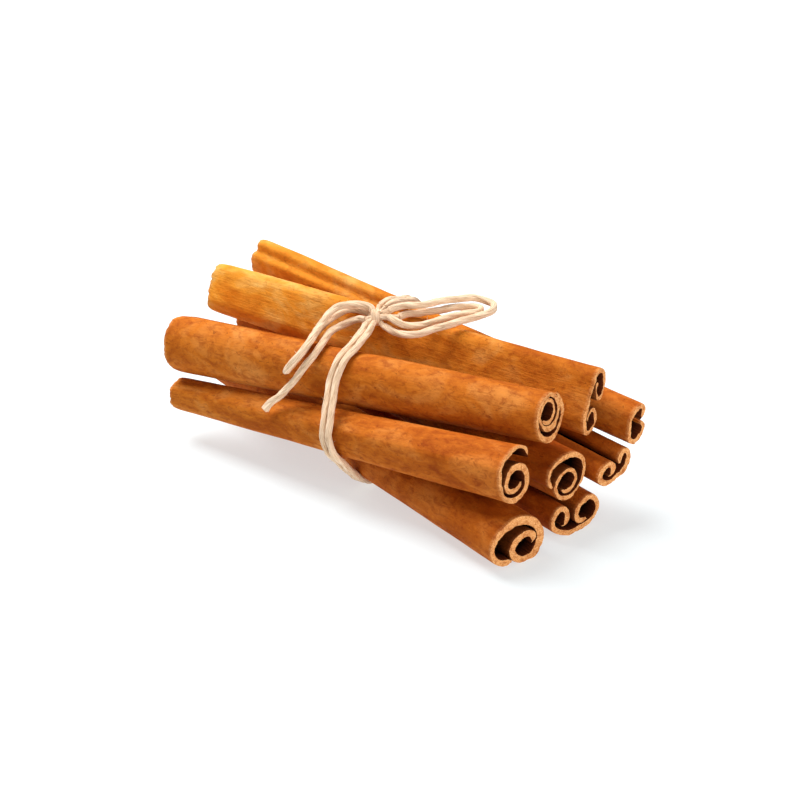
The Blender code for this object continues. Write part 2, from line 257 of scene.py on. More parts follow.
# %% Twine material
def twine_material():
    made = bpy.data.materials.new("undyed_jute_twine")
    made.use_nodes = True
    tree = made.node_tree
    shader = tree.nodes["Principled BSDF"]
    place = add(tree, "ShaderNodeAttribute", attribute_name="ply_place").outputs["Vector"]
    along = add(tree, VECTOR, {0: place, 1: (0.45, 3.2, 3.2)}, operation="MULTIPLY")
    streaks = add(tree, NOISE, {"Vector": along, "Scale": 1.0, "Detail": 4.0, "Roughness": 0.65})
    slow = add(tree, VECTOR, {0: place, 1: (0.25, 0.4, 0.4)}, operation="MULTIPLY")
    patches = add(tree, NOISE, {"Vector": slow, "Scale": 1.0, "Detail": 2.0})
    fibre = add(tree, "ShaderNodeValToRGB", {0: streaks},
                ramp=[(0.30, "#94704c"), (0.60, "#fae0c4"), (0.44, "#dcb892")])
    half_patches = add(tree, MATH, {0: patches, 1: 0.45}, operation="MULTIPLY")
    colour = add(tree, MIX, {0: half_patches, 6: fibre, 7: linear("#e8c6a2")}, data_type="RGBA")
    tree.links.new(colour.outputs[2], shader.inputs["Base Color"])
    bump = add(tree, "ShaderNodeBump", {"Strength": 0.5, "Distance": mm(0.08), "Height": streaks})
    tree.links.new(bump.outputs["Normal"], shader.inputs["Normal"])
    for name, value in (("Roughness", 0.9), ("Specular IOR Level", 0.2), ("Sheen Weight", 0.2),
                        ("Sheen Roughness", 0.5)):
        shader.inputs[name].default_value = value
    return made


TWINE_FIBRE = twine_material()

# %% [markdown]
# ## Geometry Nodes: a strand of twine
#
# A strand could be one tube with a twisted texture, but its outline would be smooth. Real twine is
# plies twisted round each other, so the tree does the same. It copies the path once for each ply,
# pushes every copy off the path by a turning offset, gives it a thickness with uneven slubs, and
# sweeps a small circle along it. The result ends in Realize Instances and Set Material.


# %% A tree and its inputs
def tree_with_inputs(title, sockets):
    """A Geometry Nodes tree with named inputs, each a name, a kind and a value to start from, and
    the sockets that bring those inputs in."""
    tree = bpy.data.node_groups.new(title, "GeometryNodeTree")
    tree.interface.new_socket("Geometry", in_out="OUTPUT", socket_type="NodeSocketGeometry")
    for name, kind, value in sockets:
        socket = tree.interface.new_socket(name, in_out="INPUT", socket_type="NodeSocket" + kind)
        if value is not None:
            socket.default_value = value
    return tree, tree.nodes.new("NodeGroupInput").outputs


# %% Laid plies
SLUBS_TO_A_M = 700.0        # thick places, 1.4 mm apart
OWN_SLUBS = (11.3, 7.7)     # how far on in the slubs the next ply and the next seed are
THINNEST, THICKEST = 0.29, 0.35     # of a ply, as a part of the strand
OFF_MIDDLE = 0.14           # the plies' distance from the strand's path, as a part of it
PARTING = 14.0              # how late the plies part towards the cut end: a power of the way there


def ply_offset(tree, given, number, along):
    """From the strand's path to the ply's own, which turns round it and parts at the cut end."""
    share = add(tree, MATH, {0: number, 1: given["Plies"]}, operation="DIVIDE")
    laid = add(tree, MATH, {0: along["Length"], 1: given["Lay"]}, operation="DIVIDE")
    turns = add(tree, MATH, {0: share, 1: laid}, operation="ADD")
    angle = add(tree, MATH, {0: turns, 1: math.tau}, operation="MULTIPLY")
    cosine, sine = [add(tree, MATH, {0: angle}, operation=name) for name in ("COSINE", "SINE")]
    normal = add(tree, "GeometryNodeInputNormal")
    tangent = add(tree, "GeometryNodeInputTangent")
    sideways = add(tree, VECTOR, {0: tangent, 1: normal}, operation="CROSS_PRODUCT")
    one_part = add(tree, VECTOR, {0: normal, "Scale": cosine}, operation="SCALE")
    other_part = add(tree, VECTOR, {0: sideways, "Scale": sine}, operation="SCALE")
    outwards = add(tree, VECTOR, {0: one_part, 1: other_part}, operation="ADD")
    late = add(tree, MATH, {0: along["Factor"], 1: PARTING}, operation="POWER")
    reach = add(tree, MATH, {0: given["Spread"], 1: late, 2: OFF_MIDDLE},
                operation="MULTIPLY_ADD")
    reach = add(tree, MATH, {0: reach, 1: given["Thickness"]}, operation="MULTIPLY")
    return add(tree, VECTOR, {0: outwards, "Scale": reach}, operation="SCALE")


def ply_thickness(tree, given, number):
    """Slubs: the ply is thicker here and thinner there, each ply in its own places."""
    place = add(tree, "GeometryNodeInputPosition")
    in_slubs = add(tree, VECTOR, {0: place, "Scale": SLUBS_TO_A_M}, operation="SCALE")
    own_x = add(tree, MATH, {0: number, 1: OWN_SLUBS[0]}, operation="MULTIPLY")
    own_y = add(tree, MATH, {0: given["Seed"], 1: OWN_SLUBS[1]}, operation="MULTIPLY")
    own = add(tree, COMBINE, {"X": own_x, "Y": own_y})
    wander = add(tree, VECTOR, {0: in_slubs, 1: own}, operation="ADD")
    slub = add(tree, NOISE, {"Vector": wander, "Scale": 1.0, "Detail": 2.0})
    share = add(tree, RANGE, {"Value": slub, 1: 0.3, 2: 0.7, 3: THINNEST, 4: THICKEST})
    return add(tree, MATH, {0: given["Thickness"], 1: share}, operation="MULTIPLY")


# %% [markdown]
# Twine sheds fibres. Hair curves would look right, but the export keeps only meshes, so each loose
# fibre is a spike with three sides, up to 0.8 mm long, that leans its own way.

# %% Loose fibres
FIBRES_TO_A_M2 = 1.6e5


def loose_fibres(tree, given, skin):
    spots = add(tree, "GeometryNodeDistributePointsOnFaces",
                {"Mesh": skin, "Density": given["Fuzz"], "Seed": given["Seed"]})
    fibre = add(tree, "GeometryNodeMeshCone",
                {"Vertices": 3, "Side Segments": 2, "Depth": mm(0.7), "Radius Top": mm(0.010),
                 "Radius Bottom": mm(0.030)})
    lean = add(tree, "FunctionNodeRandomValue",
               {"Min": (-1.2, -1.2, -3.1), "Max": (1.2, 1.2, 3.1), "Seed": given["Seed"]},
               data_type="FLOAT_VECTOR")
    turned = add(tree, "FunctionNodeRotateRotation",
                 {"Rotation": spots.outputs["Rotation"], "Rotate By": lean},
                 rotation_space="LOCAL")
    size = add(tree, "FunctionNodeRandomValue", {2: 0.4, 3: 1.2, "Seed": given["Seed"]},
               data_type="FLOAT")
    return add(tree, "GeometryNodeInstanceOnPoints",
               {"Points": spots.outputs["Points"], "Instance": fibre, "Rotation": turned,
                "Scale": size.outputs[1]})


# %% Twine tree
POINT_STEP = mm(0.28)       # between points along a ply
NEXT_STRAND = 31.0          # how far on in the pattern the next seed's strand starts


def twine_tree(finish):
    tree, given = tree_with_inputs("strand of twine", (
        ("Path", "Geometry", None), ("Thickness", "Float", mm(1.5)), ("Plies", "Int", 3),
        ("Lay", "Float", mm(15.0)), ("Spread", "Float", 0.0), ("Fuzz", "Float", FIBRES_TO_A_M2),
        ("Seed", "Int", 0)))
    line = add(tree, "GeometryNodeMeshToCurve", {"Mesh": given["Path"]})
    line = add(tree, "GeometryNodeResampleCurve", {"Curve": line, "Length": POINT_STEP},
               mode="LENGTH")
    copies = add(tree, "GeometryNodeDuplicateElements",
                 {"Geometry": line, "Amount": given["Plies"]}, domain="SPLINE")
    number = copies.outputs["Duplicate Index"]
    along = add(tree, "GeometryNodeSplineParameter").outputs
    offset = ply_offset(tree, given, number, along)
    thickness = ply_thickness(tree, given, number)
    twisted = add(tree, "GeometryNodeSetPosition", {"Geometry": copies, "Offset": offset})
    along_mm = add(tree, MATH, {0: along["Length"], 1: 1000.0}, operation="MULTIPLY")
    twisted = add(tree, "GeometryNodeStoreNamedAttribute",
                  {"Geometry": twisted, "Name": "ply_along", "Value": along_mm},
                  data_type="FLOAT", domain="POINT")
    ring = add(tree, "GeometryNodeCurvePrimitiveCircle", {"Resolution": 10, "Radius": 1.0})
    ring = add(tree, "GeometryNodeStoreNamedAttribute",
               {"Geometry": ring, "Name": "ply_round", "Value": along["Factor"]},
               data_type="FLOAT", domain="POINT")
    skin = add(tree, "GeometryNodeCurveToMesh",
               {"Curve": twisted, "Profile Curve": ring, "Scale": thickness, "Fill Caps": True})
    skin = add(tree, "GeometryNodeSetShadeSmooth", {"Geometry": skin})

    # A ring closes on itself, so the streaks use the point on it and not its angle.
    round_ply, along_ply = [add(tree, "GeometryNodeInputNamedAttribute", {"Name": name},
                                data_type="FLOAT") for name in ("ply_round", "ply_along")]
    angle = add(tree, MATH, {0: round_ply, 1: math.tau}, operation="MULTIPLY")
    shifted = add(tree, MATH, {0: given["Seed"], 1: NEXT_STRAND, 2: along_ply},
                  operation="MULTIPLY_ADD")
    cosine, sine = [add(tree, MATH, {0: angle}, operation=name) for name in ("COSINE", "SINE")]
    place = add(tree, COMBINE, {"X": shifted, "Y": cosine, "Z": sine})
    skin = add(tree, "GeometryNodeStoreNamedAttribute",
               {"Geometry": skin, "Name": "ply_place", "Value": place},
               data_type="FLOAT_VECTOR", domain="POINT")
    twine = add(tree, "GeometryNodeJoinGeometry", {0: skin})
    tree.links.new(loose_fibres(tree, given, skin).outputs[0], twine.inputs[0])
    twine = add(tree, "GeometryNodeRealizeInstances", {"Geometry": twine})
    twine = add(tree, "GeometryNodeSetMaterial", {"Geometry": twine, "Material": finish})
    add(tree, "NodeGroupOutput", {0: twine})
    return tree


TWINE_TREE = twine_tree(TWINE_FIBRE)
print("twine tree:", len(TWINE_TREE.nodes), "nodes")

# %% [markdown]
# ## From a tree to a piece
#
# A piece is a small mesh with the tree on it as a modifier. Its inputs are set by their sockets'
# identifiers before anything is evaluated. The evaluated result then becomes a plain mesh, and
# the modifier goes, because the export bakes plain meshes.


# %% Grow a piece from lines
def line_mesh(name, *lines):
    """Each line's points joined in a row, in metres."""
    points, edges = [], []
    for line in lines:
        edges += [(len(points) + i, len(points) + i + 1) for i in range(len(line) - 1)]
        points += [tuple(p) for p in line]
    made = bpy.data.meshes.new(name)
    made.from_pydata(points, edges, [])
    return made


def grow(name, start, tree, values, sharp_over=None):
    """The plain mesh that the tree makes of the start mesh with those input values."""
    made = bpy.data.objects.new(name, start)
    bpy.context.scene.collection.objects.link(made)
    modifier = made.modifiers.new(tree.name, "NODES")
    modifier.node_group = tree
    for item in tree.interface.items_tree:
        if item.in_out == "INPUT" and item.name in values:
            modifier[item.identifier] = values[item.name]
    bpy.context.view_layer.update()
    evaluated = made.evaluated_get(bpy.context.evaluated_depsgraph_get())
    result = bpy.data.meshes.new_from_object(evaluated)
    made.modifiers.remove(modifier)
    made.data = result
    result.name = name
    if sharp_over is not None:
        result.set_sharp_from_angle(angle=math.radians(sharp_over))
    for vert in result.vertices:                # nothing goes through the table
        vert.co.z = max(vert.co.z, 0.0)
    triangles = sum(len(face.vertices) - 2 for face in result.polygons)
    print(f"{name}: {len(result.vertices)} points, {triangles} triangles")
    return made


def world_path(route):
    """A route of the layout in metres of the frame."""
    return (np.array(route, float) + np.array(LAYOUT_MIDDLE)) * 0.001


# %% [markdown]
# ## The bow's free twine
#
# The loops and the end hang free of the bundle, each a strand 1.5 mm thick with its path from the
# knot. A loop's far end comes back to the knot, and the free end is bare.

# %% Cords of the bow
STRAND = 1.5


def free_strand(name, node, points, seed, spread=0.0):
    """One free strand of the bow, which stands for its CAD node."""
    path = world_path(smooth_route(points))
    made = grow(name, line_mesh(name, path), TWINE_TREE, {"Thickness": mm(STRAND), "Seed": seed,
                                                          "Spread": spread})
    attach(made, BODY)
    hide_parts(node)


free_strand("bow_loop_outer", "twine_loop_outer", LOOP_OUTER, 1)
free_strand("bow_loop_inner", "twine_loop_inner", LOOP_INNER, 2)
free_strand("bow_loop_left", "twine_loop_left", LOOP_LEFT, 3)
free_strand("bow_end_front", "twine_end_front", END_FRONT, 4, spread=0.10)

# %% [markdown]
# ## The tie and the knot
#
# The two strands of the tie lie close side by side, drawn thin by the pull, and press into the bark
# where they go over the top back stick. The knot could be tied strand by strand, but all that shows
# of it is a tight coil round the place where the strands meet, so it is made as that, with a short
# run of each strand going into it.

# %% Tie and knot
PULLED_STRAND = 1.4
PITCH = 1.35                            # between the middles of the tie's two strands
PRESSED = 1.0                           # how far they press into the bark of the top back stick
CREST_ACROSS, CREST_WIDTH = 14.6, 3.6   # where it is on the route, and how wide
TOP_RUN = 20.0                          # the route above this height goes over the bundle
KNOT_STRAND = 1.2
COIL_TURNS, COIL_RADIUS, COIL_WIDTH, COIL_POINTS = 2.3, 1.0, 1.1, 60
COIL_AXIS, COIL_SIDE = Vector((0.78, 0.62, 0.0)), Vector((-0.62, 0.78, 0.0))
RUN_FROM, RUN_TO, RUN_POINTS = 0.15, 1.05, 8    # of the way from the knot's middle to a strand


def fixed_strands(name, paths, seed, node, thickness):
    """Strands that are pulled tight and stay where they are, as one piece."""
    made = grow(name, line_mesh(name, *paths), TWINE_TREE,
                {"Thickness": mm(thickness), "Seed": seed})
    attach(made, BODY)
    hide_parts(node)


tie_route = smooth_route(TIE)
on_crest = np.exp(-((tie_route[:, 1] - CREST_ACROSS) / CREST_WIDTH) ** 2)
tie_route[:, 2] -= PRESSED * on_crest * (tie_route[:, 2] > TOP_RUN)
into_knot = [LOOP_OUTER[0], LOOP_OUTER[-1], LOOP_INNER[0], LOOP_INNER[-1], LOOP_LEFT[0],
             LOOP_LEFT[-1], END_FRONT[0]]
for seed, side, name in ((5, -0.5, "left"), (6, 0.5, "right")):
    strand = tie_route.copy()
    strand[:, 0] += side * PITCH
    fixed_strands("tie_" + name, [world_path(strand)], seed, "twine_tie_" + name, PULLED_STRAND)
    into_knot += [tuple(strand[0]), tuple(strand[-1])]

middle = Vector(KNOT)
coil = []
for share in np.linspace(0, 1, COIL_POINTS):
    a = COIL_TURNS * math.tau * share
    coil.append(middle + COIL_AXIS * (COIL_WIDTH * (share - 0.5))
                + COIL_SIDE * (COIL_RADIUS * math.cos(a))
                + Vector((0, 0, COIL_RADIUS * math.sin(a))))
runs = []
for start in into_knot:
    inner = middle + (Vector(start) - middle) * RUN_FROM
    run = [inner + (Vector(start) - inner) * t for t in np.linspace(0, RUN_TO, RUN_POINTS)]
    runs.append(world_path(run))
fixed_strands("bow_knot", [world_path(coil)] + runs, 9, "twine_knot", KNOT_STRAND)

# %% [markdown]
# ## How each stick is rolled
#
# Wet bark curls up from both of its edges as it dries, so every stick has a section of its own. A
# section could be drawn as a curve with many points. Here it is a few Keys with even change from
# each to the next, because that is how bark rolls. A Key is one state of the bark as it rolls up,
# seen from the right end: the centre that it turns about, its half width and half height there, the
# angle from that centre, and how thick the bark is there, as a part of the stick's own thickness.


# %% Keys and sticks
class Key(NamedTuple):
    across: float
    up: float
    wide: float
    high: float
    angle: float
    thick: float = 1.0


class Stick(NamedTuple):
    end: tuple          # centre of its right end, X, Y, Z
    yaw: float          # turn of the stick about Z, degrees
    pitch: float        # rise of the stick towards its right end, degrees
    length: float
    left: float         # size of the left end as a part of the right end's
    wall: float         # thickness of the bark
    # tone is the bark's own colour, but on the sticks deep in the bundle the browner right end is
    # partly painted shade
    tone: tuple         # colour of the bark at its right and left end: golden, 0, to brown, 1
    scroll: tuple       # Keys from the bark's one edge to the other
    crease: float = -1.0    # where a crease runs in from the left end, as a part of the sheet


# %% The eight sticks
STICKS = {
    # three turns round one hollow
    "stick_top_front": Stick((34.3, -1.2, 24.3), 3.7, 4.0, 80.4, 1.22, 0.74, (0.8, 0.75), (
        Key(-0.2, 0.05, 1.85, 1.8, 210), Key(-0.1, -0.1, 2.56, 2.56, 570),
        Key(0.0, -0.4, 2.98, 2.95, 660, 1.8), Key(0.2, -0.75, 3.55, 3.8, 800),
        Key(0.32, -0.92, 3.86, 4.2, 930, 1.3), Key(0.4, -0.95, 3.85, 4.2, 990, 1.8),
        Key(0.55, -1.2, 3.95, 4.45, 1130))),
    # a tall double roll, its back to the front and both edges rolled well in
    "stick_top_middle": Stick((36.2, 9.7, 22.5), 4.0, -2.1, 81.8, 0.74, 0.95, (0.8, 0.1), (
        Key(2.2, 2.0, 1.1, 1.7, -210, 0.7), Key(2.1, 1.8, 1.5, 2.4, -100, 0.8),
        Key(2.1, 2.1, 2.05, 2.9, 150), Key(-0.75, -2.6, 2.05, 2.5, 183),
        Key(-1.0, -3.6, 2.0, 2.35, 225), Key(-0.9, -3.7, 1.75, 2.2, 400, 0.9),
        Key(-0.65, -3.65, 1.0, 1.4, 530, 0.65))),
    # a slim double roll whose edges meet in its side
    "stick_top_back": Stick((41.1, 15.9, 16.8), 2.4, -8.7, 83.4, 0.92, 0.95, (0.9, 0.25), (
        Key(0.9, 1.3, 1.1, 1.2, -75, 0.9), Key(0.5, 1.5, 1.6, 1.7, 40),
        Key(0.1, 1.2, 2.3, 2.1, 165), Key(0.4, -1.5, 2.3, 2.4, 195), Key(1.0, -2.4, 1.9, 1.8, 250),
        Key(1.1, -2.3, 1.8, 1.6, 432)), 0.34),
    # a tight scroll under a roof of its own bark, much smaller at its left end
    "stick_middle_front": Stick((34.5, -12.0, 18.1), -2.3, 6.6, 79.6, 0.57, 0.92, (0.9, 0.7), (
        Key(1.1, -0.9, 3.4, 4.0, 22, 0.5), Key(1.5, -0.2, 3.6, 3.5, 45, 0.6),
        Key(1.5, 0.4, 2.9, 3.0, 80, 0.6), Key(-0.2, 0.2, 3.3, 2.7, 155, 0.8),
        Key(0.2, -2.1, 3.7, 3.7, 210, 0.9), Key(0.7, -1.9, 3.5, 3.65, 275, 1.3),
        Key(0.7, -2.1, 3.0, 3.2, 340, 1.5), Key(0.5, -2.3, 2.7, 2.6, 405, 1.5),
        Key(0.3, -2.3, 2.5, 2.4, 480, 1.4), Key(0.2, -2.5, 2.2, 1.7, 560, 1.1),
        Key(0.4, -2.5, 1.8, 1.2, 640, 0.9), Key(0.5, -2.4, 1.5, 1.1, 690, 0.6))),
    # thick bark round a crescent hollow and an inner roll
    "stick_bottom_front": Stick((35.5, -12.4, 4.72), -14.2, -2.2, 85.5, 0.9, 1.45, (0.9, 0.9), (
        Key(-1.0, 0.0, 4.2, 3.5, -90, 0.9), Key(-0.9, 0.0, 4.5, 3.9, -180, 0.7),
        Key(-0.2, 0.0, 5.0, 3.9, -270, 1.25), Key(0.9, -0.8, 4.5, 4.3, -360, 1.1),
        Key(2.0, -1.5, 2.9, 2.7, -450), Key(1.9, -1.5, 2.8, 2.4, -550),
        Key(2.2, -1.3, 1.9, 1.9, -690, 0.9), Key(2.2, -1.2, 1.2, 1.2, -735, 0.5))),
    # one loose spiral, its outer edge bent out at a corner; its browner right end is partly painted
    # shade
    "stick_centre": Stick((36.8, 0.7, 11.9), -7.3, -3.1, 79.8, 0.9, 0.82, (1.0, 0.8), (
        Key(-1.0, 0.5, 3.1, 2.9, -150), Key(-0.9, 0.6, 3.6, 3.0, -180, 0.9),
        Key(-1.0, 1.0, 3.9, 3.1, -215, 1.2), Key(0.0, 0.2, 4.1, 3.8, -268, 1.4),
        Key(0.6, -0.2, 4.1, 3.9, -340), Key(0.6, -1.1, 3.6, 3.6, -440),
        Key(0.0, -1.3, 2.6, 2.5, -545), Key(0.1, -1.3, 2.3, 2.1, -760),
        Key(0.1, -1.4, 1.4, 1.5, -860, 0.8))),
    # two small rolls with the groove between them on top; its browner right end is partly painted
    # shade
    "stick_middle_back": Stick((40.3, 9.6, 10.3), -6.6, -5.5, 77.8, 0.95, 1.15, (0.95, 0.8), (
        Key(-1.0, -0.3, 0.8, 0.8, -75, 0.8), Key(-1.1, -0.4, 1.4, 1.4, 10),
        Key(-1.2, -0.4, 2.0, 2.0, 180, 1.1), Key(-0.2, -0.6, 2.3, 2.0, 255),
        Key(2.6, 0.2, 1.6, 1.9, 300), Key(3.0, 0.5, 1.3, 2.1, 360, 0.9),
        Key(2.9, 0.6, 1.0, 1.7, 545, 0.9))),
    # a wide double roll that lies on its back; its browner right end is partly painted shade
    "stick_bottom_back": Stick((37.4, 2.7, 4.1), -12.4, -2.2, 80.0, 0.95, 1.05, (1.0, 0.8), (
        Key(-3.3, -0.5, 0.85, 1.1, -85, 0.6), Key(-3.4, -0.6, 1.4, 1.8, 0),
        Key(-3.4, -0.5, 1.9, 2.4, 90), Key(-3.4, -0.5, 2.0, 2.4, 200),
        Key(-0.6, -1.0, 2.7, 2.9, 262), Key(2.4, -0.8, 2.8, 2.75, 300),
        Key(2.5, -0.8, 2.75, 2.7, 430), Key(2.4, -0.9, 2.2, 2.0, 570, 1.1),
        Key(2.4, -0.9, 1.5, 1.4, 635, 0.8))),
}


# %% Scroll line
def scroll_line(keys, degrees_a_step=7.0, drift_a_step=0.35, softening=2):
    """The middle of the bark from edge to edge and its relative thickness: from each Key to the
    next everything changes evenly, and the corners where the change turns are softened."""
    keys = np.array(keys, float)
    if keys[-1, 4] < keys[0, 4]:                # so that the outside is always on the same hand
        keys = keys[::-1]
    states = []
    for here, there in zip(keys[:-1], keys[1:]):
        turn = abs(there[4] - here[4]) / degrees_a_step
        drift = math.hypot(*(there[:2] - here[:2])) / drift_a_step
        count = max(2, round(turn + drift))
        states += [here + (there - here) * k / count for k in range(count)]
    across, up, wide, high, angle, thick = np.array(states + [keys[-1]]).T
    angle = np.radians(angle)
    line = np.stack([across + wide * np.cos(angle), up + high * np.sin(angle), thick], axis=1)
    for _ in range(softening):
        line[1:-1] = (line[:-2] + 2 * line[1:-1] + line[2:]) / 4
    return line


# %% Cover
def covered_share(line, nearest=0.2, farthest=9.0, own=3):
    """How far each place on the line is covered by bark that lies outside it: 0 on the outer skin
    and 1 inside the roll, found by looking outwards for a part of the line that isn't its own."""
    points = line[:, :2]
    tangents = np.gradient(points, axis=0)
    tangents /= np.linalg.norm(tangents, axis=1)[:, None]
    covered = np.zeros(len(points))
    for i, (point, tangent) in enumerate(zip(points, tangents)):
        away = points - point
        ahead = away @ np.array([tangent[1], -tangent[0]])
        beside = away @ tangent
        crosses = beside[:-1] * beside[1:] <= 0
        crosses &= (ahead[:-1] > nearest) & (ahead[:-1] < farthest)
        crosses[max(0, i - own):i + own] = False
        covered[i] = crosses.any()
    width = 2 * own + 1
    return np.convolve(np.pad(covered, own, mode="edge"), np.full(width, 1 / width), mode="valid")


for name, stick in STICKS.items():
    print(name, "sheet:", round(length_of(scroll_line(stick.scroll)[:, :2]), 1), "mm across")

# %% [markdown]
# ## Material: dried cassia bark
#
# Scraped, sun-dried inner bark: orange-brown, mottled where the outer bark came off unevenly, with
# fine fibres along the stick, dark specks and a few pale scrapes. It is dry and fibrous, so it is
# rough and shows almost no shine. Some sticks are golden and others brown, so the skin has two
# ramps, with weaker marks on the golden one; the browner right ends of the sticks deep in the
# bundle are partly painted shade. A cut end shows the pale, peach-coloured heart of the bark, a
# little stained. The inside of the roll, which the sun never reached, is a darker red-brown, and
# painted
# shade is added there: the lining goes nearly black deeper in from the cut, and skin that lies
# inside the roll takes the lining's colour.
#
# Patterns follow the sheet and not the roll: the tree below stores each point's place on the flat
# sheet, in millimetres, so a factor of 0.5 makes marks about 2 mm long.


# %% Bark material
def bark_material():
    made = bpy.data.materials.new("dried_cassia_bark")
    made.use_nodes = True
    tree = made.node_tree
    shader = tree.nodes["Principled BSDF"]
    place = add(tree, "ShaderNodeAttribute", attribute_name="sheet_place").outputs["Vector"]
    cut, inner, tone, to_end, covered = [
        add(tree, "ShaderNodeAttribute", attribute_name=name).outputs["Fac"]
        for name in ("cut", "inner", "tone", "to_end", "covered")]

    layers = {}
    for name, stretch, detail, roughness, distortion in (
            ("patches", (0.09, 0.17, 0.3), 3.0, 0.60, 0.6),     # 11 by 6 mm
            ("mottle", (0.50, 0.9, 0.5), 5.0, 0.70, 0.5),       # 2.0 by 1.1 mm
            ("fibres", (0.22, 3.2, 1.0), 4.0, 0.60, 0.0),       # 0.3 mm apart
            ("grain", (2.4, 6.0, 2.0), 3.0, 0.70, 0.0),         # 0.4 by 0.17 mm
            ("specks", (1.5, 2.2, 1.0), 2.0, 0.50, 0.8)):       # 0.7 by 0.45 mm
        stretched = add(tree, VECTOR, {0: place, 1: stretch}, operation="MULTIPLY")
        layers[name] = add(tree, NOISE, {"Vector": stretched, "Scale": 1.0, "Detail": detail,
                                         "Roughness": roughness, "Distortion": distortion})

    # The scraped skin: patches set its colour, and the finer layers darken or lighten it.
    golden = add(tree, "ShaderNodeValToRGB", {0: layers["patches"]},
                 ramp=[(0.32, "#e8841c"), (0.68, "#ffc86c"), (0.50, "#fca636")])
    brown = add(tree, "ShaderNodeValToRGB", {0: layers["patches"]},
                ramp=[(0.30, "#913c08"), (0.70, "#c8681e"), (0.50, "#b25210")])
    skin = add(tree, MIX, {0: tone, 6: golden, 7: brown}, data_type="RGBA")
    marked = add(tree, RANGE, {"Value": tone, 3: 0.22, 4: 1.0})
    for name, low, high, strength, hex_code in (
            ("mottle", 0.54, 0.31, 0.85, "#8c3606"), ("mottle", 0.60, 0.74, 0.36, "#f09430"),
            ("fibres", 0.44, 0.28, 0.24, "#84380a"), ("grain", 0.58, 0.78, 0.30, "#f0a244"),
            ("specks", 0.65, 0.74, 0.70, "#662606")):
        some = add(tree, RANGE, {"Value": layers[name], 1: low, 2: high, 3: 0.0, 4: strength})
        some = add(tree, MATH, {0: some, 1: marked}, operation="MULTIPLY")
        skin = add(tree, MIX, {0: some, 6: skin.outputs[2], 7: linear(hex_code)}, data_type="RGBA")

    # The lining is painted darker, nearly black, the deeper it is in the roll: painted shade in the
    # hollow. The cut is paler.
    painted_depth_shade = add(tree, RANGE, {"Value": to_end, 1: 0.2, 2: 2.6})
    outer_lining = add(tree, "ShaderNodeValToRGB", {0: layers["fibres"]},
                       ramp=[(0.30, "#45180a"), (0.70, "#7a3614")])
    lining_with_painted_shade = add(tree, MIX, {0: painted_depth_shade, 6: outer_lining, 7: linear("#1c0a05")}, data_type="RGBA")
    heart = add(tree, "ShaderNodeValToRGB", {0: layers["grain"]},
                ramp=[(0.30, "#b8622a"), (0.66, "#fcc88e"), (0.48, "#e89e5a")])
    stain = add(tree, RANGE, {"Value": layers["mottle"], 1: 0.54, 2: 0.36, 3: 0.0, 4: 0.8})
    heart = add(tree, MIX, {0: stain, 6: heart, 7: linear("#ac5a26")}, data_type="RGBA").outputs[2]
    worn = add(tree, RANGE, {"Value": to_end, 1: 0.0, 2: 0.7, 3: 0.55, 4: 0.0})
    skin = add(tree, MIX, {0: worn, 6: skin.outputs[2], 7: heart}, data_type="RGBA")
    # Skin that lies inside the roll, under its outer turns, takes most of the lining's colour:
    # painted shade.
    painted_cover_shade = add(tree, MATH, {0: covered, 1: 0.75}, operation="MULTIPLY")
    skin = add(tree, MIX, {0: painted_cover_shade, 6: skin.outputs[2], 7: lining_with_painted_shade.outputs[2]}, data_type="RGBA")
    sheet = add(tree, MIX, {0: inner, 6: skin.outputs[2], 7: lining_with_painted_shade.outputs[2]}, data_type="RGBA")
    colour = add(tree, MIX, {0: cut, 6: sheet.outputs[2], 7: heart}, data_type="RGBA")
    tree.links.new(colour.outputs[2], shader.inputs["Base Color"])

    relief = add(tree, MATH, {0: layers["mottle"], 1: layers["fibres"]}, operation="ADD")
    relief = add(tree, MATH, {0: layers["grain"], 1: 0.4, 2: relief}, operation="MULTIPLY_ADD")
    relief = add(tree, MATH, {0: layers["specks"], 1: -0.4, 2: relief}, operation="MULTIPLY_ADD")
    bump = add(tree, "ShaderNodeBump", {"Strength": 0.6, "Distance": mm(0.22), "Height": relief})
    tree.links.new(bump.outputs["Normal"], shader.inputs["Normal"])
    shader.inputs["Roughness"].default_value = 0.72
    shader.inputs["Specular IOR Level"].default_value = 0.06
    return made


BARK = bark_material()

# %% [markdown]
# ## Geometry Nodes: a sheet of bark that rolls up
#
# A roll could be a curve with a bevel, but then its wall would have no inside and no cut of its
# own. So the tree makes a flat, closed block, long, wide and as thin as bark, and moves every point
# to its place on the roll: how far across the sheet it is picks the point of the scroll line, how
# deep it is in the bark moves it off that line, and how far along it is runs down the stick.
#
# The first step reads where each point is on the flat sheet.


# %% Places on the flat sheet
THROUGH = 5                 # points through the bark
NEXT_STICK = 97.0           # how far on in the pattern the next seed's sheet starts
CROWDED = 0.7               # how much closer the points lie at the ends, where the cut is ragged


class Place(NamedTuple):
    """Sockets that say where a point of the flat block is. Lengths are in mm."""
    left: object            # 0 at the right end and 1 at the left
    around: object          # 0 at one long edge and 1 at the other
    through: object         # from -0.5, the inside of the roll, to 0.5, its skin
    from_left: object
    from_end: object        # the nearer end
    from_edge: object       # the nearer long edge
    width: object           # of the whole sheet
    pattern: object         # length, width and depth on the sheet, moved on for every stick
    run: object             # the length of pattern alone


